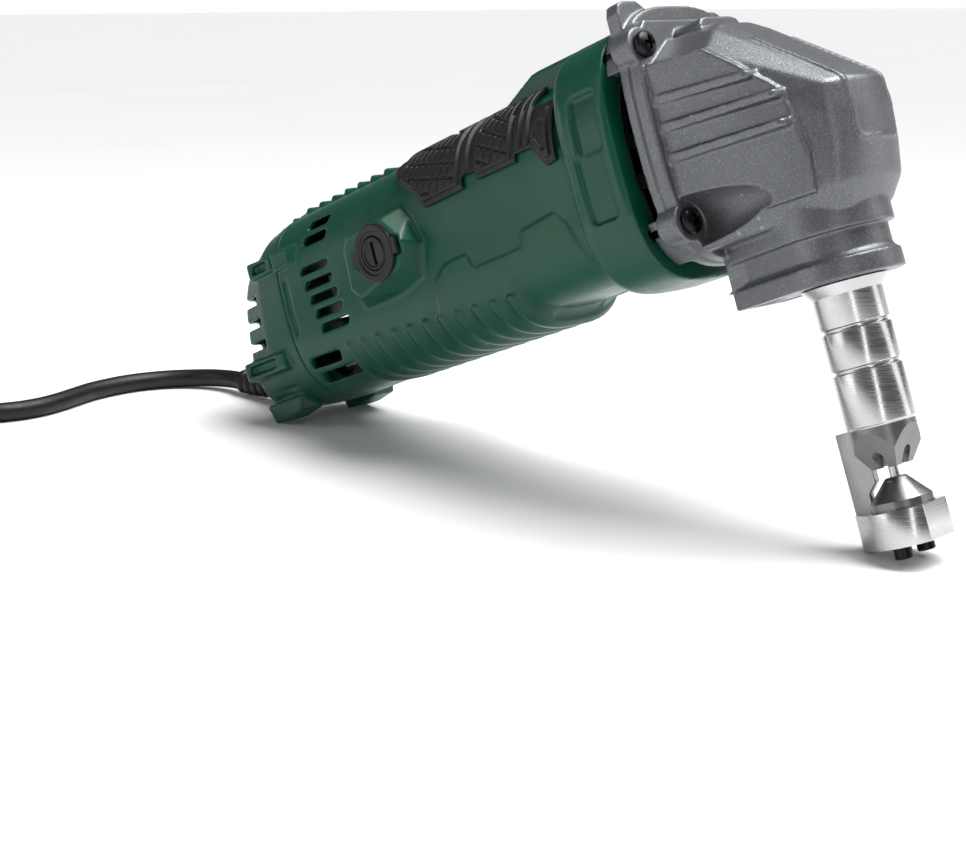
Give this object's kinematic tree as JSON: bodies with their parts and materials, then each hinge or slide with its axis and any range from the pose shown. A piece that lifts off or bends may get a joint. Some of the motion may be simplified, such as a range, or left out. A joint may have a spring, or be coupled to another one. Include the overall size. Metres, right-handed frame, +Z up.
{
  "type": "nibbler tool",
  "caption": "Corded hand nibbler: barrel motor housing with a soft grip and slide switch, cast right-angle head, and a punch working through a die held under a slim neck.",
  "frame": {"origin": "bottom centre of the tool's box as it rests on a bench on the die block's rear edge and two feet of the tail cover, without the free cord", "axes": "+X towards the cutting head, +Y to the tool's left seen from behind, +Z up; the motor axis rises 20.5 degrees towards +X in the XZ plane"},
  "size_m": [0.4177, 0.2568, 0.1605],
  "materials": {
    "housing_green": "moulded, fine texture, semi-matt dark green",
    "soft_grip": "soft-touch overlay, matt black",
    "black_plastic": "moulded black",
    "pale_plastic": "moulded, off-white",
    "switch_orange": "moulded, orange-red",
    "cast_grey": "die-cast and coated dark grey, fine grain",
    "cast_bare": "die-cast, bare",
    "dark_steel": "ground and browned steel",
    "turned_steel": "turned steel, bright",
    "black_screw": "blackened steel",
    "copper": "copper, varnished",
    "brass": "brass",
    "core_plate": "stacked steel plates",
    "carbon": "pressed carbon",
    "rubber": "black rubber, smooth"
  },
  "bodies": {
    "housing": {"motor_housing": "housing_green", "tail_cover": "housing_green", "tail_screw_1": "black_screw", "tail_screw_2": "black_screw", "grip_overlay": "soft_grip", "switch_module": "black_plastic", "suppressor": "pale_plastic", "terminal_block": "pale_plastic", "gear_housing": "cast_grey", "head_screw_1": "black_screw", "head_screw_2": "black_screw", "head_screw_3": "black_screw", "head_screw_4": "black_screw", "neck_clamp_screw": "black_screw", "bearing_plate": "cast_bare", "front_bearing": "dark_steel", "rear_bearing": "dark_steel", "crank_rear_bearing": "dark_steel", "crank_main_bearing": "dark_steel", "stator_core": "core_plate", "field_coil_upper": "copper", "field_coil_lower": "copper", "air_baffle": "black_plastic", "brush_holder_1": "brass", "brush_holder_2": "brass", "carbon_brush_1": "carbon", "carbon_brush_2": "carbon", "brush_spring_1": "turned_steel", "brush_spring_2": "turned_steel", "brush_cap_1": "black_plastic", "brush_cap_2": "black_plastic", "ram_bush": "brass", "cord_lead_in": "rubber", "cord_guard": "rubber", "cord_tube": "rubber", "cord_coil": "rubber", "coil_tie": "black_plastic", "cord_end": "rubber", "plug_body": "rubber", "plug_pin_1": "brass", "plug_pin_2": "brass"},
    "rotor": {"rotor_shaft": "dark_steel", "rotor_core": "core_plate", "rotor_winding_front": "copper", "rotor_winding_rear": "copper", "commutator": "copper", "cooling_fan": "black_plastic", "motor_pinion": "dark_steel"},
    "crank": {"crank_shaft": "dark_steel", "drive_gear": "dark_steel"},
    "roller": {"crank_roller": "turned_steel"},
    "ram": {"ram": "dark_steel", "punch": "turned_steel", "punch_screw": "black_screw"},
    "die_holder": {"die_carrier": "turned_steel", "die": "dark_steel", "die_screw_1": "black_screw", "die_screw_2": "black_screw"},
    "switch": {"switch_button": "switch_orange", "switch_rod": "black_plastic"}
  },
  "joints": [
    {"name": "rotor_spin", "type": "hinge", "parent": "housing", "child": "rotor", "pos_m": [0.01548, 0, 0.09734], "axis": [0.9364, 0, 0.3508], "continuous": true},
    {"name": "crank_spin", "type": "hinge", "parent": "housing", "child": "crank", "pos_m": [0.09688, 0, 0.10808], "axis": [0.9364, 0, 0.3508], "continuous": true},
    {"name": "roller_spin", "type": "hinge", "parent": "crank", "child": "roller", "pos_m": [0.11561, 0.003, 0.1151], "axis": [0.9364, 0, 0.3508], "continuous": true},
    {"name": "ram_slide", "type": "slide", "parent": "housing", "child": "ram", "axis": [-0.3508, 0, 0.9364], "range_m": [-0.003, 0.003]},
    {"name": "die_swivel", "type": "hinge", "parent": "housing", "child": "die_holder", "pos_m": [0.1442, 0, 0.03877], "axis": [-0.3508, 0, 0.9364], "range_deg": [-180, 180]},
    {"name": "switch_slide", "type": "slide", "parent": "housing", "child": "switch", "axis": [0.9364, 0, 0.3508], "range_m": [0, 0.006]}
  ],
  "couplings": [
    {"joint": "crank_spin", "follows": "rotor_spin", "ratio": -0.23333}
  ]
}
